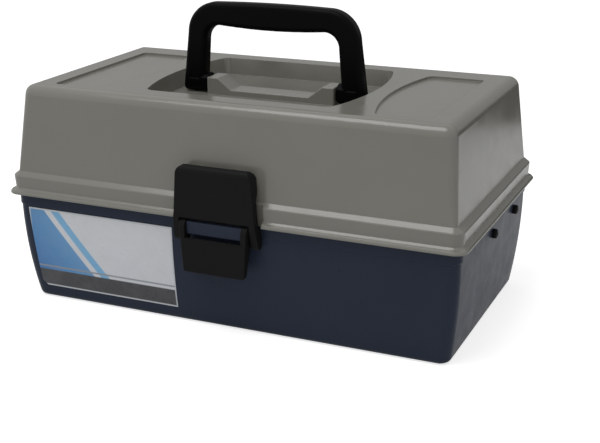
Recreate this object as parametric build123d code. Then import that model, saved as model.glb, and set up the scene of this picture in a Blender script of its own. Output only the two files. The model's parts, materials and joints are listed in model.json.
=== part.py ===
from build123d import *
from math import cos, radians, sin, tan
import os

# Cantilever tackle box: a lidded box with two level trays that swing back on four arms.
# Millimetres, Z up, the floor is Z = 0, the latch side is -Y, the length runs along X.

# Overall sizes
RIM_LENGTH = 382.0          # lid bead, outside to outside along X
RIM_WIDTH = 209.0           # lid bead, outside to outside along Y
RIM_Z = 90.2                # ledge of the base under the lid bead
LID_HEIGHT = 87.4           # from that ledge to the top of the lid
WALL = 2.4                  # moulded wall of base and lid
RUN_GAP = 0.05              # radial clearance of a turning pin
FIT_GAP = 0.02              # radial clearance of a pressed pin
half_l = RIM_LENGTH / 2
half_w = RIM_WIDTH / 2
LID_TOP_Z = RIM_Z + LID_HEIGHT

# Base
BULGE_TOP_Z = RIM_Z - 10.2  # the wall curves inwards below this height
BASE_TOP_INSET = 6.4        # wall behind the bead at the top
BASE_BULGE = 6.9            # how much further in the wall is at the floor
BASE_CORNER_R = 9.0
BASE_FOOT_R = 5.0
BASE_FLOOR = 3.0
TONGUE_TOP_Z = RIM_Z + 12.3  # rim that stands up inside the lid
TONGUE_INSET = 9.0
BAND_LOW_Z = RIM_Z - 8.7
BAND_INSET = 5.4

# Lid
BEAD_LOW_Z = RIM_Z + 0.3
BEAD_TOP_Z = RIM_Z + 3.7
BEAD_INSET = 2.4
BEAD_CORNER_R = 10.5
SKIRT_LOW_Z = RIM_Z + 5.1
SKIRT_LOW_INSET = 3.9
SHOULDER_Z = RIM_Z + 15.4   # the shoulder slopes from here to the foot of the lid wall
SHOULDER_INSET = 3.4
LID_WALL_Z = RIM_Z + 18.5
LID_WALL_HALF_X = half_l - 8.5
LID_WALL_HALF_Y = half_w - 7.0
LID_TOP_HALF_X = half_l - 14.25
LID_TOP_HALF_Y = half_w - 13.8
LID_TOP_EDGE_R = 8.5
LID_CORNER_LOW_R = 3.5
LID_CORNER_TOP_R = 9.0
LID_SEAT_Z = TONGUE_TOP_Z + 0.3

# Handle
HANDLE_AXIS_Z = LID_TOP_Z - 5.8
HANDLE_TOP_Z = LID_TOP_Z + 60.3
HANDLE_THICK = 13.8
HANDLE_FOOT_HALF_X = 77.2
HANDLE_LEG = 16.8
HANDLE_GRIP = 21.0          # height of the grip at its middle
HANDLE_LEAN = 3.6           # how far each leg leans in towards the grip
HANDLE_FLARE = 2.6          # how far each foot spreads at its lower end
HANDLE_HUB_R = 7.9
HANDLE_HUB_IN_X = HANDLE_FOOT_HALF_X - 21.2
HANDLE_EDGE_R = 4.2
HANDLE_PAD_X = HANDLE_FOOT_HALF_X - 8.7   # small oval pad on the front of each foot
HANDLE_PAD = (9.6, 3.4, 0.8)              # its length, height and how far it stands out
HANDLE_PIN_D = 5.0
HANDLE_PIN_X = (HANDLE_HUB_IN_X - 11.0, HANDLE_HUB_IN_X + 13.0)

# Handle well in the lid top
WELL_HALF_Y = half_w - 35.9
WELL_HALF_X = HANDLE_FOOT_HALF_X - 0.7   # at the front and back walls
WELL_BULGE_X = HANDLE_FOOT_HALF_X + 10.8  # at the middle of the side walls
WELL_DEPTH = 14.0
WELL_DRAFT = 1.8            # how much smaller the floor outline is
WELL_CORNER_R = 7.0
SADDLE_HALF_X = HANDLE_HUB_IN_X - 0.8
SADDLE_HALF_Y = 9.7
SADDLE_DIP = 9.0            # how far the middle is below the ends
SADDLE_FLAT_HALF_X = SADDLE_HALF_X - 21.2
SADDLE_SLOPE_HALF_X = SADDLE_HALF_X - 9.7
PANEL_DEPTH = 1.8
PANEL_OUT_X = half_l - 35.6
PANEL_IN_X = WELL_BULGE_X + 13.5
PANEL_BOW_FRONT = 12.5      # how far the bowed side runs out towards its front end
PANEL_BOW_BACK = 9.5
PANEL_BACK_Y = half_w - 43.0
PANEL_FRONT_Y = 27.5 - half_w
PANEL_CORNER_R = 8.0        # at the bowed side
PANEL_OUT_CORNER_R = 4.0
well_floor_z = LID_TOP_Z - WELL_DEPTH

# Rear hinge
HINGE_Y = half_w + 5.0
HINGE_Z = RIM_Z + 2.3
HINGE_R = 4.4
HINGE_ROD_D = 3.4
HINGE_LID_X = (92.4, 127.6)
HINGE_BASE_X = ((80.0, 92.0), (128.0, 140.0))

# Latch
NOTCH_HALF_X = 36.7         # bead and skirt stop here on each side of the latch
NOTCH_WALL_INSET = 5.65     # wall that closes the lid behind the latch
COVER_FRONT_Y = -half_w - 4.7
COVER_SKIN = 2.4
COVER_TOP_HALF_X = 30.8
COVER_LOW_HALF_X = 35.6
COVER_INNER_HALF_X = 29.1
COVER_LOW_Z = RIM_Z + 2.8
COVER_AXIS_Z = RIM_Z + 38.2
COVER_WING_LOW_Z = RIM_Z - 16.6
COVER_BARREL_R = 4.9
COVER_LUG_R = 3.2
COVER_LUG_X = (11.6, 19.4)
COVER_CORNER_R = 8.0
COVER_LUG_TILT = 20.0       # the lugs slope down to the lid wall
LATCH_EDGE_R = 0.8
COVER_PIN_D = 3.0
COVER_PIN_HALF = COVER_TOP_HALF_X - 1.4
COVER_SWING = 32.0
cover_axis_y = COVER_FRONT_Y + COVER_BARREL_R
LEVER_FRONT_Y = COVER_FRONT_Y - 2.6
LEVER_AXIS_Y = COVER_FRONT_Y + 4.9
LEVER_AXIS_Z = RIM_Z - 4.8
LEVER_HUB_R = 4.9
LEVER_LOW_Z = RIM_Z - 39.4
LEVER_WINDOW_Z = RIM_Z - 12.4
LEVER_WINDOW_HALF_X = 23.4
LEVER_TOP_HALF_X = COVER_INNER_HALF_X - 0.6
LEVER_LOW_HALF_X = 25.6
LEVER_SKIN = 2.6
LEVER_PIN_D = 3.0
LEVER_PIN_END_X = COVER_LOW_HALF_X - 2.4
CATCH_HALF_X = LEVER_WINDOW_HALF_X - 0.5
CATCH_LOW_Z = RIM_Z - 9.9
CATCH_GAP = 0.5             # between the catch and the back of the lever plate

# Trays
TRAY_HALF_X = half_l - 21.0
TRAY_WALL = 1.8
TRAY_CORNER_R = 8.0
TRAY_GAP = 2.0              # between the two trays when closed
LOWER_TRAY_HIGH = 26.5
LOWER_TRAY_Y = (15.0 - half_w, half_w - 20.0)
LOWER_TRAY_Z = (RIM_Z + 11.1, RIM_Z + 11.1 + LOWER_TRAY_HIGH)
UPPER_TRAY_Y = (17.5 - half_w, half_w - 22.0)
UPPER_TRAY_Z = (LOWER_TRAY_Z[1] + TRAY_GAP, well_floor_z - WALL - 3.2)
LOWER_WALL_Y = -8.0         # lengthwise partition of each tray
UPPER_WALL_Y = -12.0
DIVIDER = 1.6
DIVIDER_GAP = 0.2
tray_room_x = TRAY_HALF_X - TRAY_WALL

# Swinging arms: lean forward closed, lean back open
ARM_PIVOT_Z = RIM_Z - 15.2
FRONT_PIVOT_Y = 99.5 - half_w
REAR_PIVOT_Y = half_w - 46.5
CLOSED_LEAN = 38.0
LOWER_PIN_UP = 10.7         # tray pin above the underside of its tray
UPPER_PIN_SHARE = 0.4326    # the upper tray's pin, as a share of that tray's height
ARM_HALF_WIDTH = 6.5
ARM_IN_X = TRAY_HALF_X + 1.2
ARM_THICK = 2.4
LID_SWING = 105.0
ARM_RATIO = 0.6             # arm degrees for one lid degree
PIVOT_PIN_D = 5.0
PIVOT_HEAD_D = 7.4
PIVOT_HEAD = 3.6
PIVOT_DOME_R = 1.7
TRAY_PIN_D = 4.0
TRAY_HEAD_D = 9.0
LOWER_RISE = LOWER_TRAY_Z[0] + LOWER_PIN_UP - ARM_PIVOT_Z
UPPER_RISE = UPPER_TRAY_Z[0] + UPPER_PIN_SHARE * (UPPER_TRAY_Z[1] - UPPER_TRAY_Z[0]) - ARM_PIVOT_Z
lower_reach = LOWER_RISE * tan(radians(CLOSED_LEAN))
upper_reach = UPPER_RISE * tan(radians(CLOSED_LEAN))
arm_out_x = ARM_IN_X + ARM_THICK

# Lid drive: a pin on the lid rides in an eye on the side of the lower tray
DRIVE_PIN_D = 3.0
DRIVE_Y = HINGE_Y - 26.0
DRIVE_Z = HINGE_Z + 16.1
DRIVE_BOSS_R = 3.8
EYE_PLATE = 2.4
EYE_RIM = 2.6
EYE_PLAY = 0.4
EYE_TAIL_Y = DRIVE_Y - 21.5  # front end of the plate on the tray side
EYE_RIVET_Y = DRIVE_Y - 17.0
EYE_RIVET_D = 3.0

# Sticker on the left of the base front
LABEL_LOW_Z = 11.2
LABEL_TOP_Z = BAND_LOW_Z - 2.1
LABEL_RIGHT_X = -42.0
LABEL_LEFT_X = 17.0 - half_l
LABEL_SKIN = 0.25


def rounded_block(sections, ruled=True):
    """Solid through rounded rectangles given as (half x, half y, corner radius, z)."""
    faces = []
    for half_x, half_y, radius, z in sections:
        faces.append(Pos(0, 0, z) * RectangleRounded(2 * half_x, 2 * half_y, radius))
    return loft(faces, ruled=ruled)


def prism_x(outline, x_low, x_high):
    """Extrude a closed outline of (y, z) points from x_low to x_high."""
    points = [(x_low, y, z) for y, z in outline]
    face = make_face(Polyline(*points, close=True))
    return extrude(face, amount=x_high - x_low, dir=(1, 0, 0))


def rod_x(y, z, radius, x_low, x_high):
    """Cylinder along X between two stations."""
    return Pos((x_low + x_high) / 2, y, z) * Rot(0, 90, 0) * Cylinder(radius, x_high - x_low)


def span_box(x_low, x_high, y_low, y_high, z_low, z_high):
    """Box between two opposite corners."""
    middle = Pos((x_low + x_high) / 2, (y_low + y_high) / 2, (z_low + z_high) / 2)
    return middle * Box(x_high - x_low, y_high - y_low, z_high - z_low)


def both_sides(shape):
    """A shape and its mirror image across the middle plane."""
    return [shape, mirror(shape, Plane.YZ)]


def base_inset(z):
    """How far the base wall stands inside the lid bead at height z."""
    u = max(0.0, (BULGE_TOP_Z - z) / BULGE_TOP_Z)
    return BASE_TOP_INSET + 0.2 * u + BASE_BULGE * u * u


def base_sections(extra, z_low, z_high, count=6):
    """Rounded rectangles of the base wall, moved in by extra."""
    sections = []
    for i in range(count):
        z = z_low + (z_high - z_low) * i / (count - 1)
        inset = base_inset(z) + extra
        radius = max(3.0, BASE_CORNER_R - max(extra, -1.0))
        sections.append((half_l - inset, half_w - inset, radius, z))
    return sections


def make_base():
    """Base tub with its rim band, tongue, catch, arm bosses and hinge brackets."""
    body = rounded_block(base_sections(0.0, 0.0, RIM_Z), ruled=False)
    floor_edges = body.edges().group_by(Axis.Z)[0]
    body = fillet(floor_edges, BASE_FOOT_R)
    band = rounded_block([
        (half_l - BASE_TOP_INSET, half_w - BASE_TOP_INSET, BASE_CORNER_R, BAND_LOW_Z - 1.0),
        (half_l - BAND_INSET, half_w - BAND_INSET, BASE_CORNER_R + 1.0, BAND_LOW_Z),
        (half_l - BAND_INSET, half_w - BAND_INSET, BASE_CORNER_R + 1.0, RIM_Z),
    ])
    band -= span_box(-NOTCH_HALF_X, NOTCH_HALF_X, -half_w, -half_w + 20, BAND_LOW_Z - 5, BEAD_TOP_Z)
    tongue_r = BASE_CORNER_R - 1.0
    tongue = rounded_block([
        (half_l - TONGUE_INSET, half_w - TONGUE_INSET, tongue_r, RIM_Z - 5.0),
        (half_l - TONGUE_INSET, half_w - TONGUE_INSET, tongue_r, TONGUE_TOP_Z),
    ])
    body = body + band + tongue
    ledge_z = RIM_Z - WALL
    cavity = rounded_block(base_sections(WALL, BASE_FLOOR, ledge_z), ruled=False)
    cavity_foot = cavity.edges().group_by(Axis.Z)[0]
    cavity = fillet(cavity_foot, 3.0)
    mouth = rounded_block([
        (half_l - TONGUE_INSET - WALL, half_w - TONGUE_INSET - WALL, tongue_r - WALL, ledge_z - 2.0),
        (half_l - TONGUE_INSET - WALL, half_w - TONGUE_INSET - WALL, tongue_r - WALL, TONGUE_TOP_Z + 5.0),
    ])
    body = body - cavity - mouth

    catch_front = LEVER_FRONT_Y + LEVER_SKIN + CATCH_GAP
    catch = span_box(-CATCH_HALF_X, CATCH_HALF_X, catch_front, -half_w + 7.5, CATCH_LOW_Z, RIM_Z)
    front_edges = catch.edges().filter_by(Axis.X).group_by(Axis.Y)[0]
    catch = fillet(front_edges, 1.0)
    body += catch

    # Each arm pivot stands on a boss inside the wall
    for pivot_y in (FRONT_PIVOT_Y, REAR_PIVOT_Y):
        boss = rod_x(pivot_y, ARM_PIVOT_Z, 6.0, arm_out_x + 0.4, half_l - BASE_TOP_INSET - 1.0)
        bore = rod_x(pivot_y, ARM_PIVOT_Z, PIVOT_PIN_D / 2 + FIT_GAP, arm_out_x - 5, half_l)
        for side_boss, side_bore in zip(both_sides(boss), both_sides(bore)):
            body = body + side_boss - side_bore

    # Hinge brackets stay under the lid bead
    under_bead = BEAD_LOW_Z - 0.5
    in_wall_y = half_w - BASE_TOP_INSET - 1.3
    web = [
        (in_wall_y, RIM_Z - 18.2), (in_wall_y, under_bead), (HINGE_Y - 3.5, under_bead),
        (HINGE_Y, HINGE_Z), (HINGE_Y + 3.6, HINGE_Z - 2.5),
    ]
    for x_low, x_high in HINGE_BASE_X:
        bracket = prism_x(web, x_low, x_high) + rod_x(HINGE_Y, HINGE_Z, HINGE_R, x_low, x_high)
        bracket -= rod_x(HINGE_Y, HINGE_Z, HINGE_ROD_D / 2 + FIT_GAP, x_low - 1, x_high + 1)
        for side in both_sides(bracket):
            body += side
    return body


def well_outline(grow, z):
    """Plan outline of the handle well: straight front and back, bowed sides."""
    end_x = WELL_HALF_X + grow
    end_y = WELL_HALF_Y + grow
    bow_x = WELL_BULGE_X + grow
    front = Line((-end_x, -end_y), (end_x, -end_y))
    right = ThreePointArc((end_x, -end_y), (bow_x, 0), (end_x, end_y))
    back = Line((end_x, end_y), (-end_x, end_y))
    left = ThreePointArc((-end_x, end_y), (-bow_x, 0), (-end_x, -end_y))
    face = make_face(Curve() + [front, right, back, left])
    face = fillet(face.vertices(), WELL_CORNER_R + grow)
    return Pos(0, 0, z) * face


def panel_outline(grow, z):
    """Shallow panel in the lid top to the right of the well."""
    in_x, out_x = PANEL_IN_X - grow, PANEL_OUT_X + grow
    front_y, back_y = PANEL_FRONT_Y - grow, PANEL_BACK_Y + grow
    in_front = (in_x + PANEL_BOW_FRONT, front_y)
    in_back = (in_x + PANEL_BOW_BACK, back_y)
    front = Line(in_front, (out_x, front_y))
    outer = Line((out_x, front_y), (out_x, back_y))
    back = Line((out_x, back_y), in_back)
    inner = ThreePointArc(in_back, (in_x, -2.0), in_front)
    face = make_face(Curve() + [front, outer, back, inner])
    face = fillet(face.vertices().group_by(Axis.X)[-1], PANEL_OUT_CORNER_R + grow)
    face = fillet(face.vertices().sort_by(Axis.X)[:2], PANEL_CORNER_R + grow)
    return Pos(0, 0, z) * face


def lid_wall_y(z):
    """Outer Y distance of the sloping front and back lid walls."""
    share = (z - LID_WALL_Z) / (LID_TOP_Z - LID_WALL_Z)
    return LID_WALL_HALF_Y + (LID_TOP_HALF_Y - LID_WALL_HALF_Y) * share


def cover_lug(radius, x_low, x_high, turn=0.0):
    """Round-ended lug from the latch cover's axis back to the lid wall."""
    reach = -cover_axis_y - lid_wall_y(COVER_AXIS_Z) + 1.5
    lug = span_box(x_low, x_high, 0.0, reach, -radius, radius) + rod_x(0, 0, radius, x_low, x_high)
    return Pos(0, cover_axis_y, COVER_AXIS_Z) * Rot(turn - COVER_LUG_TILT, 0, 0) * lug


def make_lid():
    """Lid with bead, skirt, shoulder, handle well, saddle, panels and lugs."""
    def rim(inset, radius, z):
        return (half_l - inset, half_w - inset, radius, z)
    top_r, bead_r = LID_CORNER_TOP_R, BEAD_CORNER_R
    outside = rounded_block([
        rim(0.3, bead_r, BEAD_LOW_Z),
        rim(0.0, bead_r, BEAD_LOW_Z + 0.6),
        rim(0.1, bead_r, BEAD_LOW_Z + 1.4),
        rim(0.9, bead_r - 0.4, BEAD_TOP_Z - 0.8),
        rim(BEAD_INSET, bead_r - 1.0, BEAD_TOP_Z),
        rim(SKIRT_LOW_INSET, bead_r - 2.0, SKIRT_LOW_Z),
        rim(SHOULDER_INSET, bead_r - 2.0, SHOULDER_Z - 0.8),
        rim(SHOULDER_INSET + 0.5, bead_r - 2.3, SHOULDER_Z),
        (LID_WALL_HALF_X, LID_WALL_HALF_Y, LID_CORNER_LOW_R, LID_WALL_Z),
        (LID_TOP_HALF_X, LID_TOP_HALF_Y, top_r, LID_TOP_Z),
    ])
    top_edges = outside.faces().sort_by(Axis.Z)[-1].edges()
    outside = fillet(top_edges, LID_TOP_EDGE_R)

    roof_z = LID_TOP_Z - WALL
    share = (roof_z - LID_WALL_Z) / (LID_TOP_Z - LID_WALL_Z)
    roof_x = LID_WALL_HALF_X + (LID_TOP_HALF_X - LID_WALL_HALF_X) * share - WALL
    roof_y = lid_wall_y(roof_z) - WALL
    inside = rounded_block([
        (LID_WALL_HALF_X - WALL, LID_WALL_HALF_Y - WALL, 4.0, LID_SEAT_Z - 1.0),
        (LID_WALL_HALF_X - WALL, LID_WALL_HALF_Y - WALL, 4.0, LID_WALL_Z),
        (roof_x, roof_y, top_r - WALL, roof_z),
    ])
    inside = fillet(inside.faces().sort_by(Axis.Z)[-1].edges(), 6.0)
    skirt_in = SKIRT_LOW_INSET + WALL
    hollow_r = bead_r - 2.0 - WALL
    skirt_hollow = rounded_block([
        rim(skirt_in, hollow_r, BEAD_LOW_Z - 1.0),
        rim(skirt_in, hollow_r, LID_SEAT_Z),
    ])
    shell = outside - inside - skirt_hollow

    # Handle well
    pan = loft([well_outline(WALL - WELL_DRAFT, well_floor_z - WALL), well_outline(WALL, LID_TOP_Z - 1.0)])
    hollow = loft([well_outline(-WELL_DRAFT, well_floor_z), well_outline(0.0, LID_TOP_Z + 0.01)])
    shell = shell + pan - hollow

    # Saddle that carries the handle pins
    end_z = LID_TOP_Z - 0.2
    dip_z = end_z - SADDLE_DIP
    profile = [
        (-SADDLE_HALF_X, well_floor_z - 1.0), (-SADDLE_HALF_X, end_z), (-SADDLE_SLOPE_HALF_X, end_z),
        (-SADDLE_FLAT_HALF_X, dip_z), (SADDLE_FLAT_HALF_X, dip_z), (SADDLE_SLOPE_HALF_X, end_z),
        (SADDLE_HALF_X, end_z), (SADDLE_HALF_X, well_floor_z - 1.0),
    ]
    face = make_face(Polyline(*[(x, SADDLE_HALF_Y, z) for x, z in profile], close=True))
    saddle = extrude(face, amount=2 * SADDLE_HALF_Y, dir=(0, -1, 0))
    high_edges = saddle.edges().filter_by(lambda e: e.center().Z > dip_z - 0.1)
    saddle = fillet(high_edges, 0.9)
    shell += saddle
    bore_low, bore_high = HANDLE_PIN_X[0] - 1.0, SADDLE_HALF_X + 5.0
    for bore in both_sides(rod_x(0, HANDLE_AXIS_Z, HANDLE_PIN_D / 2 + FIT_GAP, bore_low, bore_high)):
        shell -= bore

    # Shallow panels, with the full wall under them
    panel_z = LID_TOP_Z - PANEL_DEPTH
    under = extrude(panel_outline(WALL, panel_z - WALL), amount=PANEL_DEPTH + WALL / 2)
    panel = extrude(panel_outline(0.0, panel_z), amount=PANEL_DEPTH + 1.0)
    for side, side_under in zip(both_sides(panel), both_sides(under)):
        shell = shell + side_under - side

    # Gap in the rim where the latch sits, closed by a plain wall behind it
    out_y, in_y = NOTCH_WALL_INSET - half_w, NOTCH_WALL_INSET - half_w + WALL
    shell -= span_box(-NOTCH_HALF_X, NOTCH_HALF_X, -half_w - 5, out_y, BEAD_LOW_Z - 5, LID_WALL_Z + 0.2)
    shell += span_box(-NOTCH_HALF_X - WALL, NOTCH_HALF_X + WALL, out_y, in_y, BEAD_LOW_Z, SHOULDER_Z)
    end_y, end_top = SKIRT_LOW_INSET - half_w, SHOULDER_Z - 1.2
    end_wall = span_box(NOTCH_HALF_X, NOTCH_HALF_X + WALL, end_y, in_y, BEAD_LOW_Z, end_top)
    for side in both_sides(end_wall):
        shell += side

    # Lugs for the latch cover
    lug = cover_lug(COVER_LUG_R, *COVER_LUG_X)
    lug -= rod_x(cover_axis_y, COVER_AXIS_Z, COVER_PIN_D / 2 + FIT_GAP, 0, COVER_LUG_X[1] + 20)
    for side in both_sides(lug):
        shell += side

    # Rear hinge knuckles
    web = [
        (half_w - 5.5, BEAD_TOP_Z + 0.1), (half_w - 5.5, SHOULDER_Z - 1.6),
        (HINGE_Y + 0.6, HINGE_Z + HINGE_R - 0.1), (HINGE_Y, HINGE_Z), (HINGE_Y - 6.5, BEAD_LOW_Z + 0.4),
    ]
    knuckle = prism_x(web, *HINGE_LID_X) + rod_x(HINGE_Y, HINGE_Z, HINGE_R, *HINGE_LID_X)
    bore = rod_x(HINGE_Y, HINGE_Z, HINGE_ROD_D / 2 + RUN_GAP, HINGE_LID_X[0] - 1, HINGE_LID_X[1] + 1)
    for side, side_bore in zip(both_sides(knuckle), both_sides(bore)):
        shell = shell + side - side_bore

    # Bosses for the drive pins
    boss = rod_x(DRIVE_Y, DRIVE_Z, DRIVE_BOSS_R, arm_out_x + 1.9, LID_WALL_HALF_X - 1.0)
    bore = rod_x(DRIVE_Y, DRIVE_Z, DRIVE_PIN_D / 2 + FIT_GAP, ARM_IN_X, LID_WALL_HALF_X - 2.0)
    for side, side_bore in zip(both_sides(boss), both_sides(bore)):
        shell = shell + side - side_bore
    return shell


def make_handle():
    """Carrying handle, upright, with feet that round off about its axis."""
    foot_out = HANDLE_FOOT_HALF_X + HANDLE_FLARE
    foot_in = HANDLE_FOOT_HALF_X - HANDLE_LEG
    low = HANDLE_AXIS_Z - HANDLE_HUB_R
    top = HANDLE_TOP_Z
    out_x, in_x = HANDLE_FOOT_HALF_X - HANDLE_LEAN, foot_in - HANDLE_LEAN + 0.4
    crown_x, bow_x = HANDLE_FOOT_HALF_X - 29.2, HANDLE_FOOT_HALF_X - 32.2
    crown_z, bow_z = top - 0.9, top - HANDLE_GRIP + 2.0
    shoulder_z, pit_z = top - 25.6, top - HANDLE_GRIP - 10.2
    outer_leg = Line((foot_out, low), (out_x, shoulder_z))
    outer_turn = ThreePointArc((out_x, shoulder_z), (out_x - 7.6, top - 8.2), (crown_x, crown_z))
    crown = ThreePointArc((crown_x, crown_z), (0, top), (-crown_x, crown_z))
    outer_turn_l = ThreePointArc((-crown_x, crown_z), (7.6 - out_x, top - 8.2), (-out_x, shoulder_z))
    outer_leg_l = Line((-out_x, shoulder_z), (-foot_out, low))
    foot_l = Line((-foot_out, low), (-foot_in, low))
    inner_leg_l = Line((-foot_in, low), (-in_x, pit_z))
    inner_turn_l = ThreePointArc((-in_x, pit_z), (3.5 - in_x, bow_z - 3.6), (-bow_x, bow_z))
    bow = ThreePointArc((-bow_x, bow_z), (0, top - HANDLE_GRIP), (bow_x, bow_z))
    inner_turn = ThreePointArc((bow_x, bow_z), (in_x - 3.5, bow_z - 3.6), (in_x, pit_z))
    inner_leg = Line((in_x, pit_z), (foot_in, low))
    foot = Line((foot_in, low), (foot_out, low))
    outline = Curve() + [
        outer_leg, outer_turn, crown, outer_turn_l, outer_leg_l, foot_l,
        inner_leg_l, inner_turn_l, bow, inner_turn, inner_leg, foot,
    ]
    flat = make_face(outline)
    flat = fillet(flat.vertices().group_by(Axis.Y)[0], HANDLE_EDGE_R + 0.6)
    bail = Rot(90, 0, 0) * extrude(flat, amount=HANDLE_THICK / 2, both=True)
    rim_edges = [edge for face in bail.faces().filter_by(Axis.Y) for edge in face.edges()]
    bail = fillet(rim_edges, HANDLE_EDGE_R)
    far_x = foot_out + 1.0
    below = span_box(-far_x, far_x, -HANDLE_THICK, HANDLE_THICK, low - 1.0, HANDLE_AXIS_Z)
    bail -= below - rod_x(0, HANDLE_AXIS_Z, HANDLE_HUB_R, -far_x, far_x)

    # Each foot is widened inwards by a hub that is flush in front
    hub = rod_x(0, HANDLE_AXIS_Z, HANDLE_HUB_R, HANDLE_HUB_IN_X, foot_in + HANDLE_EDGE_R + 1.0)
    hub = fillet([hub.edges().filter_by(GeomType.CIRCLE).sort_by(Axis.X)[0]], 0.8)
    hub &= span_box(0, far_x, -HANDLE_THICK / 2, HANDLE_THICK / 2, low - 1.0, low + 3 * HANDLE_HUB_R)
    bore = rod_x(0, HANDLE_AXIS_Z, HANDLE_PIN_D / 2 + RUN_GAP, HANDLE_HUB_IN_X - 2, HANDLE_PIN_X[1] + 1)
    length, height, proud = HANDLE_PAD
    pad = Rot(90, 0, 0) * extrude(SlotOverall(length, height), amount=1.0 + proud)
    pad = fillet(pad.faces().sort_by(Axis.Y)[0].edges(), 0.7)
    pad = Pos(HANDLE_PAD_X, 1.0 - HANDLE_THICK / 2, HANDLE_AXIS_Z + 1.8) * pad
    for side, side_pad, side_bore in zip(both_sides(hub), both_sides(pad), both_sides(bore)):
        bail = bail + side + side_pad - side_bore
    return bail


def front_mask(front_y, top_half, low_half, top_z, low_z, top_corner, low_corner):
    """Tapered block seen from the front, with rounded front edges, that trims a latch piece."""
    back_y = LEVER_AXIS_Y + 15.0
    points = [
        (-low_half, back_y, low_z), (low_half, back_y, low_z),
        (top_half, back_y, top_z), (-top_half, back_y, top_z),
    ]
    block = extrude(make_face(Polyline(*points, close=True)), amount=back_y - front_y, dir=(0, -1, 0))
    block = fillet(block.edges().filter_by(Axis.Y).group_by(Axis.Z)[-1], top_corner)
    block = fillet(block.edges().filter_by(Axis.Y).group_by(Axis.Z)[0], low_corner)
    return fillet(block.faces().sort_by(Axis.Y)[0].edges(), LATCH_EDGE_R)


def make_latch_cover():
    """Upper latch piece: hinge barrel on top, skin in front, wings down each side."""
    wide = COVER_LOW_HALF_X + 1
    front = COVER_FRONT_Y
    skin = span_box(-wide, wide, front, front + COVER_SKIN, COVER_LOW_Z, COVER_AXIS_Z)
    barrel = rod_x(cover_axis_y, COVER_AXIS_Z, COVER_BARREL_R, -wide, wide)
    low_z = COVER_WING_LOW_Z
    wing_side = [
        (front, COVER_AXIS_Z), (front, COVER_LOW_Z - 4.0), (front + 3.4, low_z + 1.8), (front + 5.0, low_z),
        (front + 7.2, low_z), (front + 8.8, low_z + 1.8),
        (front + 10.4, RIM_Z - 10.2), (front + 10.4, RIM_Z - 3.7),
        (front + 6.0, BEAD_LOW_Z), (front + 6.0, LID_WALL_Z + 1.8), (front + 9.6, LID_WALL_Z + 9.8),
        (front + 10.35, COVER_AXIS_Z),
    ]
    wings = both_sides(prism_x(wing_side, COVER_INNER_HALF_X, wide))
    cover = skin + barrel + wings[0] + wings[1]
    top_z = COVER_AXIS_Z + COVER_BARREL_R + 0.5
    cover = cover & front_mask(
        front, COVER_TOP_HALF_X, COVER_LOW_HALF_X, top_z, low_z - 1.5, COVER_CORNER_R, 3.0)
    room = COVER_LUG_R + 0.35
    for turn in (0, 11, 22, COVER_SWING + 1):
        for side in both_sides(cover_lug(room, COVER_LUG_X[0] - 0.4, COVER_LUG_X[1] + 0.4, turn)):
            cover -= side
    pin_room = COVER_PIN_HALF + 0.3
    cover -= rod_x(cover_axis_y, COVER_AXIS_Z, COVER_PIN_D / 2 + RUN_GAP, -pin_room, pin_room)
    lever_bore = rod_x(LEVER_AXIS_Y, LEVER_AXIS_Z, LEVER_PIN_D / 2 + FIT_GAP, 20.0, LEVER_PIN_END_X + 0.2)
    for bore in both_sides(lever_bore):
        cover -= bore
    return cover


def make_latch_lever():
    """Lower latch piece: a pull plate under a window, hung between the cover wings."""
    wide = LEVER_TOP_HALF_X + 1
    front = LEVER_FRONT_Y
    plate = span_box(-wide, wide, front, front + LEVER_SKIN, LEVER_LOW_Z, LEVER_WINDOW_Z)
    flange = [
        (front, LEVER_AXIS_Z + 2.0), (front, LEVER_LOW_Z), (front + LEVER_SKIN, LEVER_LOW_Z),
        (front + 4.6, LEVER_LOW_Z + 3.2), (LEVER_AXIS_Y + 1.7, LEVER_AXIS_Z - 9.4),
        (LEVER_AXIS_Y + LEVER_HUB_R, LEVER_AXIS_Z), (LEVER_AXIS_Y - 3.0, LEVER_AXIS_Z + 6.2),
        (LEVER_AXIS_Y - 6.1, LEVER_AXIS_Z + 4.6),
    ]
    arm = prism_x(flange, LEVER_WINDOW_HALF_X, wide)
    arm += rod_x(LEVER_AXIS_Y, LEVER_AXIS_Z, LEVER_HUB_R, LEVER_WINDOW_HALF_X, wide)
    arms = both_sides(arm)
    lever = plate + arms[0] + arms[1]
    top_z = LEVER_AXIS_Z + LEVER_HUB_R + 3.0
    lever = lever & front_mask(front, LEVER_TOP_HALF_X, LEVER_LOW_HALF_X, top_z, LEVER_LOW_Z, 1.0, 2.0)
    lever -= rod_x(LEVER_AXIS_Y, LEVER_AXIS_Z, LEVER_PIN_D / 2 + RUN_GAP, -40, 40)
    return lever


def make_arm(pivot_y, side):
    """Flat arm from the base pivot to the upper tray pin, holes for three pins."""
    low = (pivot_y, ARM_PIVOT_Z)
    mid = (pivot_y - lower_reach, ARM_PIVOT_Z + LOWER_RISE)
    high = (pivot_y - upper_reach, ARM_PIVOT_Z + UPPER_RISE)
    lean = radians(CLOSED_LEAN)
    across_y, across_z = ARM_HALF_WIDTH * cos(lean), ARM_HALF_WIDTH * sin(lean)
    strip = [
        (low[0] + across_y, low[1] + across_z), (high[0] + across_y, high[1] + across_z),
        (high[0] - across_y, high[1] - across_z), (low[0] - across_y, low[1] - across_z),
    ]
    arm = prism_x(strip, ARM_IN_X, arm_out_x)
    for y, z in (low, high):
        arm += rod_x(y, z, ARM_HALF_WIDTH, ARM_IN_X, arm_out_x)
    arm -= rod_x(*low, PIVOT_PIN_D / 2 + RUN_GAP, ARM_IN_X - 1, arm_out_x + 1)
    for y, z in (mid, high):
        arm -= rod_x(y, z, TRAY_PIN_D / 2 + RUN_GAP, ARM_IN_X - 1, arm_out_x + 1)
    return arm if side > 0 else mirror(arm, Plane.YZ)


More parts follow.
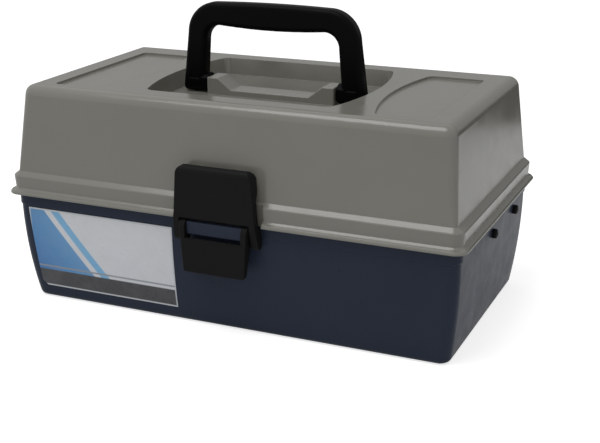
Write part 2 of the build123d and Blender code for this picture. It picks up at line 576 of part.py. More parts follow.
def make_pivot_pins():
    """Four headed pins through the base side walls."""
    head_x = half_l - base_inset(ARM_PIVOT_Z) + 0.1
    pins = []
    for pivot_y in (FRONT_PIVOT_Y, REAR_PIVOT_Y):
        head = rod_x(pivot_y, ARM_PIVOT_Z, PIVOT_HEAD_D / 2, head_x, head_x + PIVOT_HEAD)
        head = fillet([head.edges().filter_by(GeomType.CIRCLE).sort_by(Axis.X)[-1]], PIVOT_DOME_R)
        head -= rod_x(pivot_y, ARM_PIVOT_Z, 1.3, head_x + PIVOT_HEAD - 1.2, head_x + PIVOT_HEAD + 1)
        pin = head + rod_x(pivot_y, ARM_PIVOT_Z, PIVOT_PIN_D / 2, ARM_IN_X - 1.8, head_x + 0.5)
        pins += both_sides(pin)
    return pins


def make_pivot_caps():
    """Push-on caps on the inner ends of the base pins."""
    caps = []
    for pivot_y in (FRONT_PIVOT_Y, REAR_PIVOT_Y):
        cap = rod_x(pivot_y, ARM_PIVOT_Z, 5.0, ARM_IN_X - 2.9, ARM_IN_X - 0.3)
        cap = fillet([cap.edges().filter_by(GeomType.CIRCLE).sort_by(Axis.X)[0]], 0.8)
        cap -= rod_x(pivot_y, ARM_PIVOT_Z, PIVOT_PIN_D / 2 + FIT_GAP, ARM_IN_X - 1.9, ARM_IN_X + 1)
        caps += both_sides(cap)
    return caps


def tray_pin_places(reach, rise):
    """Front and rear pin positions of one tray when closed."""
    z = ARM_PIVOT_Z + rise
    return [(FRONT_PIVOT_Y - reach, z), (REAR_PIVOT_Y - reach, z)]


def make_tray_pins(reach, rise):
    """Four headed pins that hold a tray to its arms."""
    pins = []
    for y, z in tray_pin_places(reach, rise):
        head = rod_x(y, z, TRAY_HEAD_D / 2, arm_out_x + 0.25, arm_out_x + 1.5)
        head = fillet([head.edges().filter_by(GeomType.CIRCLE).sort_by(Axis.X)[-1]], 0.5)
        pin = head + rod_x(y, z, TRAY_PIN_D / 2, TRAY_HALF_X - 5.2, arm_out_x + 0.6)
        pins += both_sides(pin)
    return pins


def make_washers(reach, rise):
    """Thin spacers between a tray and its arms."""
    washers = []
    for y, z in tray_pin_places(reach, rise):
        ring = rod_x(y, z, 4.6, TRAY_HALF_X + 0.05, ARM_IN_X - 0.15)
        ring -= rod_x(y, z, TRAY_PIN_D / 2 + FIT_GAP, TRAY_HALF_X - 1, ARM_IN_X + 1)
        washers += both_sides(ring)
    return washers


def make_tray(tray_y, tray_z, wall_y, cross, slots, reach, rise):
    """Open tray with fixed partitions, divider slots and pin bosses."""
    mid_y = (tray_y[0] + tray_y[1]) / 2
    deep = tray_y[1] - tray_y[0]
    high = tray_z[1] - tray_z[0]
    outer_face = RectangleRounded(2 * TRAY_HALF_X, deep, TRAY_CORNER_R)
    outer = Pos(0, mid_y, tray_z[0]) * extrude(outer_face, amount=high)
    outer = fillet(outer.edges().group_by(Axis.Z)[0], 1.5)
    inner_face = RectangleRounded(2 * tray_room_x, deep - 2 * TRAY_WALL, TRAY_CORNER_R - TRAY_WALL)
    inner = Pos(0, mid_y, tray_z[0] + TRAY_WALL) * extrude(inner_face, amount=high)
    tray = outer - inner

    wall_top = tray_z[1] - 1.5
    wall_low = tray_z[0] + 0.5
    half = TRAY_WALL / 2
    long_x = tray_room_x + 0.5
    tray += span_box(-long_x, long_x, wall_y - half, wall_y + half, wall_low, wall_top)
    for x in cross:
        tray += span_box(x - half, x + half, tray_y[0] + 0.5, tray_y[1] - 0.5, wall_low, wall_top)

    # Ribs in pairs hold the removable dividers of the front row
    groove = DIVIDER / 2 + DIVIDER_GAP
    for x in slots:
        for rib_x in (x - groove - 1.0, x + groove):
            front_rib = (tray_y[0] + 0.5, tray_y[0] + TRAY_WALL + 1.6)
            for rib_y in (front_rib, (wall_y - half - 1.6, wall_y)):
                tray += span_box(rib_x, rib_x + 1.0, *rib_y, wall_low, wall_top - 1.0)

    for y, z in tray_pin_places(reach, rise):
        boss = rod_x(y, z, 5.0, TRAY_HALF_X - 5.0, TRAY_HALF_X - 0.5)
        bore = rod_x(y, z, TRAY_PIN_D / 2 + FIT_GAP, TRAY_HALF_X - 7.0, TRAY_HALF_X + 1.0)
        for side_boss, side_bore in zip(both_sides(boss), both_sides(bore)):
            tray = tray + side_boss - side_bore
    return tray


def make_dividers(tray_y, tray_z, wall_y, places):
    """Removable divider plates standing in their slots."""
    plates = []
    y_low = tray_y[0] + TRAY_WALL + DIVIDER_GAP
    y_high = wall_y - TRAY_WALL / 2 - DIVIDER_GAP
    for x in places:
        z_low = tray_z[0] + TRAY_WALL + 0.1
        plate = span_box(x - DIVIDER / 2, x + DIVIDER / 2, y_low, y_high, z_low, tray_z[1] - 2.5)
        plates.append(fillet(plate.edges().filter_by(Axis.X).group_by(Axis.Z)[-1], 2.0))
    return plates


def turned_back(y, z, centre, degrees):
    """A point swung up and back about a centre along X."""
    a = radians(degrees)
    dy, dz = y - centre[0], z - centre[1]
    return centre[0] + dy * cos(a) + dz * sin(a), centre[1] - dy * sin(a) + dz * cos(a)


def eye_extent():
    """Room the lid pin needs in the lower tray while the lid swings."""
    ys, zs = [], []
    for step in range(43):
        lid_angle = LID_SWING * step / 42
        pin = turned_back(DRIVE_Y, DRIVE_Z, (HINGE_Y, HINGE_Z), lid_angle)
        tray = turned_back(-lower_reach, LOWER_RISE, (0.0, 0.0), lid_angle * ARM_RATIO)
        ys.append(pin[0] - (tray[0] + lower_reach))
        zs.append(pin[1] - (tray[1] - LOWER_RISE))
    return min(ys), max(ys), min(zs), max(zs)


def make_slide_eye(side):
    """Side plate of the lower tray with the upright slot for the lid pin."""
    y_low, y_high, z_low, z_high = eye_extent()
    room = DRIVE_PIN_D / 2 + EYE_PLAY
    slot_w, slot_h = y_high - y_low + 2 * room, z_high - z_low + 2 * room
    mid_y, mid_z = (y_low + y_high) / 2, (z_low + z_high) / 2
    x_low, x_high = TRAY_HALF_X + 0.05, TRAY_HALF_X + EYE_PLATE
    end = RectangleRounded(slot_w + 2 * EYE_RIM, slot_h + 2 * EYE_RIM, slot_w / 2 + EYE_RIM - 0.1)
    slot = RectangleRounded(slot_w, slot_h, slot_w / 2 - 0.1)
    tail = Pos((EYE_TAIL_Y - mid_y) / 2, 0) * RectangleRounded(mid_y - EYE_TAIL_Y, 14.0, 3.0)
    outline = tail + end - slot
    side_plane = Plane(origin=(x_low, mid_y, mid_z), x_dir=(0, 1, 0), z_dir=(1, 0, 0))
    plate = extrude(side_plane * outline, amount=x_high - x_low)
    for y, z in rivet_places():
        plate -= rod_x(y, z, EYE_RIVET_D / 2 + FIT_GAP, x_low - 1, x_high + 1)
    return plate if side > 0 else mirror(plate, Plane.YZ)


def rivet_places():
    """Two rivets hold each eye plate to the tray side."""
    z_low, z_high = eye_extent()[2:]
    mid_z = (z_low + z_high) / 2
    return [(EYE_RIVET_Y, mid_z - 3.6), (EYE_RIVET_Y, mid_z + 3.6)]


def make_rivets():
    """Headed rivets of the eye plates."""
    rivets = []
    x_head = TRAY_HALF_X + EYE_PLATE
    for y, z in rivet_places():
        head = rod_x(y, z, 2.6, x_head + 0.03, x_head + 0.9)
        rivet = head + rod_x(y, z, EYE_RIVET_D / 2, TRAY_HALF_X - TRAY_WALL + 0.1, x_head + 0.5)
        rivets += both_sides(rivet)
    return rivets


def make_label():
    """Thin sticker on the left of the base front, following the bowed wall."""
    skin = rounded_block(base_sections(-0.03 - LABEL_SKIN, 0.0, RIM_Z), ruled=False)
    skin -= rounded_block(base_sections(-0.03, 0.0, RIM_Z), ruled=False)
    outline = [
        (LABEL_LEFT_X, LABEL_TOP_Z), (LABEL_RIGHT_X, LABEL_TOP_Z), (LABEL_RIGHT_X - 0.4, LABEL_LOW_Z),
        (LABEL_LEFT_X + 9.2, LABEL_LOW_Z), (LABEL_LEFT_X + 4.6, LABEL_LOW_Z + 3.8),
    ]
    face = make_face(Polyline(*[(x, 35.0 - half_w, z) for x, z in outline], close=True))
    return skin & extrude(face, amount=60.0, dir=(0, -1, 0))


def save(name, shapes):
    """Write one named piece, or a group of like pieces, as a STEP file."""
    solids = []
    for shape in shapes:
        solids += shape.solids()
    print(name, len(solids), round(sum(s.volume for s in solids) / 1000, 2))
    result = solids[0] if len(solids) == 1 else Compound(children=solids)
    export_step(result, f"parts/{name}.step")


os.makedirs("parts", exist_ok=True)

save("base_shell", [make_base()])
save("base_label", [make_label()])
save("base_pivot_pins", make_pivot_pins())
save("base_pivot_caps", make_pivot_caps())
rod = rod_x(HINGE_Y, HINGE_Z, HINGE_ROD_D / 2, HINGE_BASE_X[0][0] + 0.5, HINGE_BASE_X[1][1] - 0.5)
save("hinge_rods", both_sides(rod))

save("lid_shell", [make_lid()])
drive_pin = rod_x(DRIVE_Y, DRIVE_Z, DRIVE_PIN_D / 2, TRAY_HALF_X + 0.4, LID_WALL_HALF_X - 3.0)
save("lid_drive_pins", both_sides(drive_pin))
save("latch_cover_pin", [rod_x(cover_axis_y, COVER_AXIS_Z, COVER_PIN_D / 2, -COVER_PIN_HALF, COVER_PIN_HALF)])
save("handle_pins", both_sides(rod_x(0, HANDLE_AXIS_Z, HANDLE_PIN_D / 2, *HANDLE_PIN_X)))
save("handle", [make_handle()])
save("latch_cover", [make_latch_cover()])
lever_pin = rod_x(LEVER_AXIS_Y, LEVER_AXIS_Z, LEVER_PIN_D / 2, LEVER_WINDOW_HALF_X + 0.2, LEVER_PIN_END_X)
save("latch_lever_pins", both_sides(lever_pin))
save("latch_lever", [make_latch_lever()])

for name, pivot_y in (("front_arm", FRONT_PIVOT_Y), ("rear_arm", REAR_PIVOT_Y)):
    save(name + "_left", [make_arm(pivot_y, -1)])
    save(name + "_right", [make_arm(pivot_y, 1)])

# The lower tray is divided in quarters, the upper one in sixths
quarter = tray_room_x / 4
sixth = tray_room_x / 6
lower_slots = [quarter * k for k in (-3, -2, -1, 1, 2, 3)]
upper_slots = [sixth * k for k in (-5, -4, -3, -1, 0, 1, 3, 4, 5)]
lower = (LOWER_TRAY_Y, LOWER_TRAY_Z, LOWER_WALL_Y)
upper = (UPPER_TRAY_Y, UPPER_TRAY_Z, UPPER_WALL_Y)
lower_tray = make_tray(*lower, [0.0], lower_slots, lower_reach, LOWER_RISE)
for rivet_y, rivet_z in rivet_places():
    hole = rod_x(rivet_y, rivet_z, EYE_RIVET_D / 2 + FIT_GAP, TRAY_HALF_X - 4, TRAY_HALF_X + 1)
    for side in both_sides(hole):
        lower_tray -= side
save("lower_tray", [lower_tray])
save("lower_tray_pins", make_tray_pins(lower_reach, LOWER_RISE))
save("lower_tray_washers", make_washers(lower_reach, LOWER_RISE))
save("lower_tray_dividers", make_dividers(*lower, (-2 * quarter, 2 * quarter)))
save("slide_eye_left", [make_slide_eye(-1)])
save("slide_eye_right", [make_slide_eye(1)])
save("slide_eye_rivets", make_rivets())
upper_tray = make_tray(*upper, (-2 * sixth, 2 * sixth), upper_slots, upper_reach, UPPER_RISE)
save("upper_tray", [upper_tray])
save("upper_tray_pins", make_tray_pins(upper_reach, UPPER_RISE))
save("upper_tray_washers", make_washers(upper_reach, UPPER_RISE))
save("upper_tray_dividers", make_dividers(*upper, (-4 * sixth, 0.0, 4 * sixth)))
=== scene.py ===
"""Looks of the cantilever tackle box: materials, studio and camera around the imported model."""
import json
import math

import bpy
from mathutils import Matrix, Vector

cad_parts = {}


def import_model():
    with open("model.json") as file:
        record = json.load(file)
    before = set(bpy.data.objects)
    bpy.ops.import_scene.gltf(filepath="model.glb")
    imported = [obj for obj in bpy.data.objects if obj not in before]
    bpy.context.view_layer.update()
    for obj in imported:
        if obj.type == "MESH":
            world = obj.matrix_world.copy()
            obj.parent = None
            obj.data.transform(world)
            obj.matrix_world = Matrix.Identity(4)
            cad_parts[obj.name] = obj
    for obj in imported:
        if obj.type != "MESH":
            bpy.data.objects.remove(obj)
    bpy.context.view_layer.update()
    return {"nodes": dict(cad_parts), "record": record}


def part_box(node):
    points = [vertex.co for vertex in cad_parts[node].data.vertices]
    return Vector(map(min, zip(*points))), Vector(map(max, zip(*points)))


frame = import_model()

MM = 0.001

# Camera, from lines and outlines of the photograph
IMAGE_WIDTH_PX = 600.0
FOCAL_PX = 1177.2
SENSOR_MM = 36.0
CLIP_START = 0.05
CAMERA_YAW = math.radians(23.94)
CAMERA_PITCH = math.radians(19.06)
CAMERA_ROLL = math.radians(-0.43)
CAMERA_PLACE = Vector((0.3925, -0.8349, 0.3769))

# Colours, linear
LID_GREY = (0.212, 0.208, 0.182)
BASE_NAVY = (0.028, 0.037, 0.060)
LATCH_BLACK = (0.0125, 0.0125, 0.0128)
HANDLE_BLACK = (0.0012, 0.0012, 0.0013)
TRAY_GREY = (0.36, 0.36, 0.34)
DIVIDER_GREY = (0.42, 0.42, 0.40)
NYLON = (0.66, 0.66, 0.62)
ALUMINIUM = (0.70, 0.71, 0.72)
STEEL = (0.58, 0.58, 0.60)
LABEL_WHITE = (0.72, 0.74, 0.78)
LABEL_DARK = (0.035, 0.036, 0.042)
LABEL_BLUE = (0.020, 0.16, 0.46)
LABEL_SKY = (0.22, 0.50, 0.78)
LABEL_RULE_GREY = (0.30, 0.32, 0.35)
LABEL_EDGE_GREY = (0.62, 0.64, 0.67)
LABEL_SCUFF_GREY = (0.40, 0.41, 0.43)
FULL_WHITE = (1.0, 1.0, 1.0, 1.0)
FULL_BLACK = (0.0, 0.0, 0.0, 1.0)

# Plastics by material slot. Gloss is rough and level; grain, mottle and the last, the edge paling, are
# strengths. The edge paling is partly wear and partly a painted highlight along edges.
PLASTICS = {
    "lid_plastic": dict(
        colour=LID_GREY, rough=0.20, level=0.55, grain=0.03, mottle=0.025, edge_mm=0.5, edge_wear_highlight=0.06
    ),
    "base_plastic": dict(
        colour=BASE_NAVY, rough=0.32, level=0.08, grain=0.08, mottle=0.06, edge_mm=0.5, edge_wear_highlight=0.10
    ),
    "black_plastic": dict(
        colour=LATCH_BLACK, rough=0.40, level=0.04, grain=0.10, mottle=0.06, edge_mm=0.7, edge_wear_highlight=0.06
    ),
    "handle_plastic": dict(
        colour=HANDLE_BLACK, rough=0.40, level=0.05, grain=0.10, mottle=0.08, edge_mm=0.7, edge_wear_highlight=0.08
    ),
    "tray_plastic": dict(
        colour=TRAY_GREY, rough=0.42, level=0.40, grain=0.08, mottle=0.03, edge_mm=0.4, edge_wear_highlight=0.10
    ),
    "divider_plastic": dict(
        colour=DIVIDER_GREY, rough=0.40, level=0.40, grain=0.08, mottle=0.03, edge_mm=0.3, edge_wear_highlight=0.10
    ),
    "white_nylon": dict(
        colour=NYLON, rough=0.45, level=0.40, grain=0.05, mottle=0.03, edge_mm=0.2, edge_wear_highlight=0.10
    ),
}

# Metals by material slot. Their fine lines run along the axes with the small stretch.
METALS = {
    "arm_metal": dict(colour=ALUMINIUM, rough=0.34, stretch=(1.0, 0.05, 0.05)),
    "steel": dict(colour=STEEL, rough=0.26, stretch=(0.05, 1.0, 1.0)),
}

# Colour sockets of a Mix node
MIX_A = 6
MIX_B = 7
MIX_RESULT = 2

# Noise: the middle of its values is stretched to the full effect. Scales are per metre.
NOISE_LOW = 0.3
NOISE_HIGH = 0.7
EDGE_NORMAL_LOW = 0.999       # bevelled against plain normal on a face
EDGE_NORMAL_HIGH = 0.90       # the same on a sharp edge
BEVEL_SAMPLES = 4

# Moulded plastic
CLOUD_SCALE = 14.0
STREAK_SCALE = 9.0
STREAK_STRETCH = (1.0, 1.0, 6.0)
STREAK_LOW = 0.35
STREAK_HIGH = 0.75
STREAK_EFFECT = 0.35
WORN_SCALE = 55.0
WORN_SPREAD = 0.05
GRAIN_SIZE = 0.45 * MM
GRAIN_HEIGHT = 0.12 * MM
RIPPLE_SCALE = 45.0
RIPPLE_STRENGTH = 0.06
RIPPLE_HEIGHT = 0.6 * MM
EDGE_GAIN = 2.0               # how much paler an edge is painted, as wear and as a painted highlight, per unit of edge paling
EDGE_LEAST = 0.02             # added to it, so that black edges pale too
EDGE_COVER = 4.0              # how much of the edge is painted paler, per unit of edge paling

# Metal
DRAWN_SCALE = 900.0
TARNISH_SCALE = 60.0
TARNISH_DARKEST = 0.82
DRAWN_SPREAD = 0.08
DRAWN_STRENGTH = 0.10
DRAWN_HEIGHT = 0.05 * MM
METAL_EDGE = 0.25 * MM

# Label, in fractions of its own width and height
LABEL_LEAN = 0.42             # shift of the slanted edge from bottom to top
LABEL_FIELD_END = 0.52
LABEL_GLOW_START = 0.05
LABEL_GLOW = 0.55
LABEL_STRIPE = (0.57, 0.63)
LABEL_BAND_TOP = 0.22
LABEL_RULE = (0.255, 0.275)
LABEL_SIDE_MARGIN = (0.010, 0.990)
LABEL_END_MARGIN = (0.018, 0.982)
LABEL_SOFT = 0.004            # half width of a printed edge
LABEL_BAND_SOFT = 0.006
LABEL_LINE_SOFT = 0.005
LABEL_SIDE_SOFT = 0.003
LABEL_WHITE_GAIN = 1.08
LABEL_WHITE_FADE = 0.5
LABEL_SCUFF_SCALE = 70.0
LABEL_SCUFF_LOW = 0.45
LABEL_SCUFF_HIGH = 0.8
LABEL_SCUFF = 0.12
LABEL_ROUGH = (0.24, 0.36)
LABEL_RIPPLE_SCALE = 60.0
LABEL_RIPPLE_STRENGTH = 0.12
LABEL_RIPPLE_HEIGHT = 0.5 * MM

# Studio
WORLD_LEVEL = 0.42
FLOOR_HALF = 6.0
FLOOR_DROP = 0.2 * MM
FLOOR_ALBEDO = 0.80
FLOOR_ROUGH = 0.9
FLOOR_LIFT = 0.70             # glow that the eye sees
FLOOR_GLOSSY_LIFT = 0.36      # glow in reflections
LAMP_PLACE = Vector((-0.22, -0.45, 1.34))
LAMP_TARGET = Vector((0.0, 0.0, 0.15))
LAMP_WIDTH = 0.9
LAMP_DEPTH = 0.7
LAMP_WATTS = 7.0

# Cards behind the table's far edge, seen only as reflections: name, low z, top z, level
CARD_Y = 0.72
CARD_HALF_X = 1.6
CARDS = (("card_low", 0.0, 0.20, 0.02), ("card_high", 0.20, 0.80, 0.42))


def scaled(colour, factor):
    """The colour, lighter or darker by a factor."""
    return tuple(c * factor for c in colour)


class Shader:
    """Small builder for a node material."""

    def __init__(self, name):
        self.material = bpy.data.materials.new(name)
        self.material.use_nodes = True
        self.tree = self.material.node_tree
        self.bsdf = self.tree.nodes["Principled BSDF"]
        self.place = self.add("ShaderNodeTexCoord").outputs["Object"]

    def add(self, kind, **settings):
        node = self.tree.nodes.new(kind)
        for key, value in settings.items():
            setattr(node, key, value)
        return node

    def link(self, out, into):
        self.tree.links.new(out, into)

    def feed(self, value, socket):
        """Links another node's output, or sets a number or colour."""
        if isinstance(value, (int, float)):
            socket.default_value = value
        elif isinstance(value, tuple):
            socket.default_value = (*value, 1.0)
        else:
            self.link(value, socket)

    def noise(self, scale, detail, roughness, stretch=None):
        node = self.add("ShaderNodeTexNoise")
        node.inputs["Scale"].default_value = scale
        node.inputs["Detail"].default_value = detail
        node.inputs["Roughness"].default_value = roughness
        source = self.place
        if stretch:
            mapping = self.add("ShaderNodeMapping")
            mapping.inputs["Scale"].default_value = stretch
            self.link(self.place, mapping.inputs["Vector"])
            source = mapping.outputs["Vector"]
        self.link(source, node.inputs["Vector"])
        return node.outputs["Fac"]

    def spread(self, value, low, high, out_low=0.0, out_high=1.0):
        """From out_low where the value is low to out_high where it is high."""
        node = self.add("ShaderNodeMapRange")
        node.inputs["From Min"].default_value = low
        node.inputs["From Max"].default_value = high
        node.inputs["To Min"].default_value = out_low
        node.inputs["To Max"].default_value = out_high
        self.link(value, node.inputs["Value"])
        return node.outputs["Result"]

    def math(self, operation, a, b):
        node = self.add("ShaderNodeMath", operation=operation)
        self.feed(a, node.inputs[0])
        self.feed(b, node.inputs[1])
        return node.outputs[0]

    def mix(self, factor, a, b):
        """Colour a at factor 0 and b at 1."""
        node = self.add("ShaderNodeMix", data_type="RGBA", blend_type="MIX")
        self.feed(factor, node.inputs[0])
        self.feed(a, node.inputs[MIX_A])
        self.feed(b, node.inputs[MIX_B])
        return node.outputs[MIX_RESULT]

    def soft_normal(self, radius):
        """Normal rounded over sharp edges."""
        bevel = self.add("ShaderNodeBevel", samples=BEVEL_SAMPLES)
        bevel.inputs["Radius"].default_value = radius
        return bevel.outputs["Normal"]

    def edge_mask(self, normal):
        """About 1 on sharp outer edges and 0 on plain faces."""
        geometry = self.add("ShaderNodeNewGeometry")
        dot = self.add("ShaderNodeVectorMath", operation="DOT_PRODUCT")
        self.link(normal, dot.inputs[0])
        self.link(geometry.outputs["Normal"], dot.inputs[1])
        return self.spread(dot.outputs["Value"], EDGE_NORMAL_LOW, EDGE_NORMAL_HIGH)

    def bump(self, height, strength, distance, normal=None):
        node = self.add("ShaderNodeBump")
        node.inputs["Strength"].default_value = strength
        node.inputs["Distance"].default_value = distance
        self.link(height, node.inputs["Height"])
        if normal:
            self.link(normal, node.inputs["Normal"])
        return node.outputs["Normal"]


def plastic(name, colour, rough, level, grain, mottle, edge_mm, edge_wear_highlight):
    """Moulded plastic: fine spark grain, slight flow mottling, softened edges painted paler, partly as
    wear and partly as a painted highlight.
    """
    shader = Shader(name)
    cloud = shader.noise(CLOUD_SCALE, detail=3.0, roughness=0.55)
    streak = shader.noise(STREAK_SCALE, detail=4.0, roughness=0.6, stretch=STREAK_STRETCH)
    light = scaled(colour, 1 + mottle)
    dark = scaled(colour, 1 - mottle)
    base = shader.mix(shader.spread(cloud, NOISE_LOW, NOISE_HIGH), dark, light)
    flow = shader.spread(streak, STREAK_LOW, STREAK_HIGH, 0.0, STREAK_EFFECT)
    base = shader.mix(flow, base, scaled(light, 1 - mottle))

    soft = shader.soft_normal(edge_mm * MM)
    # Edges painted paler in the base colour: partly wear, partly a painted highlight standing in for shine
    # along the edges.
    edge_wear_and_highlight_colour = tuple(c * (1 + EDGE_GAIN * edge_wear_highlight) + EDGE_LEAST * edge_wear_highlight for c in colour)
    edge_wear_and_highlight_mask = shader.math("MULTIPLY", shader.edge_mask(soft), edge_wear_highlight * EDGE_COVER)
    base = shader.mix(edge_wear_and_highlight_mask, base, edge_wear_and_highlight_colour)
    shader.link(base, shader.bsdf.inputs["Base Color"])

    worn = shader.noise(WORN_SCALE, detail=3.0, roughness=0.6)
    gloss = shader.spread(worn, NOISE_LOW, NOISE_HIGH, rough - WORN_SPREAD, rough + WORN_SPREAD)
    shader.link(gloss, shader.bsdf.inputs["Roughness"])
    shader.bsdf.inputs["Specular IOR Level"].default_value = level

    fine = shader.noise(1.0 / GRAIN_SIZE, detail=2.0, roughness=0.5)
    wave = shader.noise(RIPPLE_SCALE, detail=1.0, roughness=0.4)
    normal = shader.bump(fine, grain, GRAIN_HEIGHT, soft)
    normal = shader.bump(wave, RIPPLE_STRENGTH, RIPPLE_HEIGHT, normal)
    shader.link(normal, shader.bsdf.inputs["Normal"])
    return shader.material


def metal(name, colour, rough, stretch):
    """Drawn or rolled metal with fine lines."""
    shader = Shader(name)
    shader.bsdf.inputs["Metallic"].default_value = 1.0
    lines = shader.noise(DRAWN_SCALE, detail=3.0, roughness=0.6, stretch=stretch)
    cloud = shader.noise(TARNISH_SCALE, detail=3.0, roughness=0.6)
    base = shader.mix(shader.spread(cloud, NOISE_LOW, NOISE_HIGH), scaled(colour, TARNISH_DARKEST), colour)
    shader.link(base, shader.bsdf.inputs["Base Color"])
    gloss = shader.spread(lines, NOISE_LOW, NOISE_HIGH, rough - DRAWN_SPREAD, rough + DRAWN_SPREAD)
    shader.link(gloss, shader.bsdf.inputs["Roughness"])
    normal = shader.bump(lines, DRAWN_STRENGTH, DRAWN_HEIGHT, shader.soft_normal(METAL_EDGE))
    shader.link(normal, shader.bsdf.inputs["Normal"])
    return shader.material


def label_film():
    """Glossy printed film in plain colour blocks, on the label's own place on the base front."""
    shader = Shader("label_film")
    low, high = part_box("base_label")
    split = shader.add("ShaderNodeSeparateXYZ")
    shader.link(shader.place, split.inputs[0])
    across = shader.spread(split.outputs["X"], low[0], high[0])
    up = shader.spread(split.outputs["Z"], low[2], high[2])

    def after(value, edge, soft=LABEL_SOFT):
        """0 before the edge, 1 after it."""
        return shader.spread(value, edge - soft, edge + soft)

    def before(value, edge, soft=LABEL_SOFT):
        """1 before the edge, 0 after it."""
        return shader.math("SUBTRACT", 1.0, after(value, edge, soft))

    def between(value, edges, soft=LABEL_SOFT):
        return shader.math("MULTIPLY", after(value, edges[0], soft), before(value, edges[1], soft))

    rise = shader.spread(up, 0.0, 1.0, 0.0, LABEL_WHITE_FADE)
    white = shader.mix(rise, LABEL_WHITE, scaled(LABEL_WHITE, LABEL_WHITE_GAIN))
    slope = shader.math("ADD", across, shader.math("MULTIPLY", up, LABEL_LEAN))
    paint = shader.mix(after(slope, LABEL_FIELD_END), LABEL_BLUE, white)
    paint = shader.mix(between(slope, LABEL_STRIPE), paint, LABEL_SKY)
    fade = shader.spread(slope, LABEL_GLOW_START, LABEL_FIELD_END, 0.0, LABEL_GLOW)
    glow = shader.math("MULTIPLY", fade, before(slope, LABEL_FIELD_END))
    paint = shader.mix(glow, paint, LABEL_SKY)
    paint = shader.mix(before(up, LABEL_BAND_TOP, LABEL_BAND_SOFT), paint, LABEL_DARK)
    paint = shader.mix(between(up, LABEL_RULE, LABEL_LINE_SOFT), paint, LABEL_RULE_GREY)
    inside_sides = between(across, LABEL_SIDE_MARGIN, LABEL_SIDE_SOFT)
    inside_ends = between(up, LABEL_END_MARGIN, LABEL_LINE_SOFT)
    paint = shader.mix(shader.math("MULTIPLY", inside_sides, inside_ends), LABEL_EDGE_GREY, paint)
    scuff = shader.noise(LABEL_SCUFF_SCALE, detail=4.0, roughness=0.65)
    rubbed = shader.spread(scuff, LABEL_SCUFF_LOW, LABEL_SCUFF_HIGH, 0.0, LABEL_SCUFF)
    paint = shader.mix(rubbed, paint, LABEL_SCUFF_GREY)
    shader.link(paint, shader.bsdf.inputs["Base Color"])
    shader.link(shader.spread(scuff, NOISE_LOW, NOISE_HIGH, *LABEL_ROUGH), shader.bsdf.inputs["Roughness"])
    wave = shader.noise(LABEL_RIPPLE_SCALE, detail=2.0, roughness=0.5)
    normal = shader.bump(wave, LABEL_RIPPLE_STRENGTH, LABEL_RIPPLE_HEIGHT)
    shader.link(normal, shader.bsdf.inputs["Normal"])
    return shader.material


def paint_nodes():
    """Give every carried-over piece its material."""
    finishes = {name: plastic(name, **values) for name, values in PLASTICS.items()}
    finishes.update({name: metal(name, **values) for name, values in METALS.items()})
    finishes["label_film"] = label_film()
    for entry in frame["record"]["subparts"]:
        piece = frame["nodes"][entry["node"]]
        finish = "handle_plastic" if entry["node"] == "handle" else entry["material_slot"]
        if not piece.material_slots:
            piece.data.materials.append(finishes[finish])
        for slot in piece.material_slots:
            slot.material = finishes[finish]


def any_ray(tree, path, *kinds):
    """1 for rays of the given kinds, 0 for others."""
    total = path.outputs[kinds[0]]
    for kind in kinds[1:]:
        most = tree.nodes.new("ShaderNodeMath")
        most.operation = "MAXIMUM"
        tree.links.new(total, most.inputs[0])
        tree.links.new(path.outputs[kind], most.inputs[1])
        total = most.outputs[0]
    return total


def ramp(tree, value, low, high):
    """From low at 0 to high at 1."""
    node = tree.nodes.new("ShaderNodeMapRange")
    node.inputs["To Min"].default_value = low
    node.inputs["To Max"].default_value = high
    tree.links.new(value, node.inputs["Value"])
    return node.outputs["Result"]


def make_world():
    """Plain grey dome that lights softly; the eye and mirrors see it white."""
    world = bpy.data.worlds.new("studio")
    bpy.context.scene.world = world
    world.use_nodes = True
    tree = world.node_tree
    ground = tree.nodes["Background"]
    ground.inputs["Color"].default_value = FULL_WHITE
    path = tree.nodes.new("ShaderNodeLightPath")
    seen = any_ray(tree, path, "Is Camera Ray", "Is Glossy Ray", "Is Transmission Ray")
    tree.links.new(ramp(tree, seen, WORLD_LEVEL, 1.0), ground.inputs["Strength"])


def make_stage_face(name, corners):
    """One flat stage face with its own dull material; returns the object and its node tree."""
    mesh = bpy.data.meshes.new(name)
    mesh.from_pydata(corners, [], [(0, 1, 2, 3)])
    face = bpy.data.objects.new(name, mesh)
    bpy.context.collection.objects.link(face)
    material = bpy.data.materials.new(name)
    material.use_nodes = True
    mesh.materials.append(material)
    bsdf = material.node_tree.nodes["Principled BSDF"]
    bsdf.inputs["Specular IOR Level"].default_value = 0.0
    bsdf.inputs["Emission Color"].default_value = FULL_WHITE
    return face, material.node_tree


def make_floor():
    """Pale floor that keeps the shadow and runs out to white."""
    half = FLOOR_HALF
    corners = [(-half, -half, 0), (half, -half, 0), (half, half, 0), (-half, half, 0)]
    floor, tree = make_stage_face("floor", corners)
    floor.location.z = -FLOOR_DROP
    bsdf = tree.nodes["Principled BSDF"]
    bsdf.inputs["Base Color"].default_value = (FLOOR_ALBEDO, FLOOR_ALBEDO, FLOOR_ALBEDO, 1.0)
    bsdf.inputs["Roughness"].default_value = FLOOR_ROUGH
    path = tree.nodes.new("ShaderNodeLightPath")
    total = tree.nodes.new("ShaderNodeMath")
    total.operation = "ADD"
    tree.links.new(ramp(tree, path.outputs["Is Camera Ray"], 0.0, FLOOR_LIFT), total.inputs[0])
    tree.links.new(ramp(tree, path.outputs["Is Glossy Ray"], 0.0, FLOOR_GLOSSY_LIFT), total.inputs[1])
    tree.links.new(total.outputs[0], bsdf.inputs["Emission Strength"])


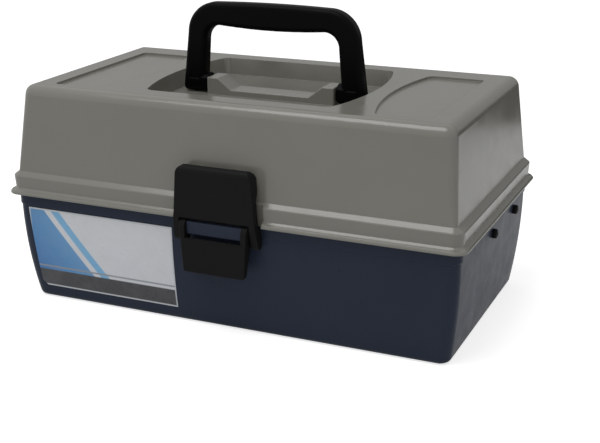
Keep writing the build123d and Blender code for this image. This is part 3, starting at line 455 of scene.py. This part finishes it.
def make_card(name, low_z, top_z, level):
    """Studio card behind the box: the lid's side and top mirror it, the camera doesn't see it."""
    x, y = CARD_HALF_X, CARD_Y
    card, tree = make_stage_face(name, [(-x, y, low_z), (x, y, low_z), (x, y, top_z), (-x, y, top_z)])
    bsdf = tree.nodes["Principled BSDF"]
    bsdf.inputs["Base Color"].default_value = FULL_BLACK
    bsdf.inputs["Emission Strength"].default_value = level
    card.visible_camera = False
    card.visible_diffuse = False
    card.visible_transmission = False
    card.visible_shadow = False


def make_lamp():
    """Soft rectangular lamp overhead."""
    data = bpy.data.lights.new("overhead", "AREA")
    data.shape = "RECTANGLE"
    data.size = LAMP_WIDTH
    data.size_y = LAMP_DEPTH
    data.energy = LAMP_WATTS
    lamp = bpy.data.objects.new("overhead", data)
    lamp.location = LAMP_PLACE
    lamp.rotation_euler = (LAMP_TARGET - LAMP_PLACE).to_track_quat("-Z", "Y").to_euler()
    bpy.context.collection.objects.link(lamp)


def make_camera():
    """Camera at the photograph's place and angle."""
    yaw, pitch, roll = CAMERA_YAW, CAMERA_PITCH, CAMERA_ROLL
    look = Vector((-math.sin(yaw) * math.cos(pitch), math.cos(yaw) * math.cos(pitch), -math.sin(pitch)))
    right = Vector((math.cos(yaw), math.sin(yaw), 0.0))
    up = right.cross(look)
    right_rolled = math.cos(roll) * right + math.sin(roll) * up
    up_rolled = -math.sin(roll) * right + math.cos(roll) * up
    turn = Matrix((right_rolled, up_rolled, -look)).transposed()
    data = bpy.data.cameras.new("camera")
    data.sensor_width = SENSOR_MM
    data.lens = FOCAL_PX / IMAGE_WIDTH_PX * SENSOR_MM
    data.clip_start = CLIP_START
    camera = bpy.data.objects.new("camera", data)
    camera.matrix_world = Matrix.Translation(CAMERA_PLACE) @ turn.to_4x4()
    bpy.context.collection.objects.link(camera)
    bpy.context.scene.camera = camera


paint_nodes()
make_world()
make_floor()
for card_values in CARDS:
    make_card(*card_values)
make_lamp()
make_camera()
bpy.context.scene.view_settings.view_transform = "Standard"
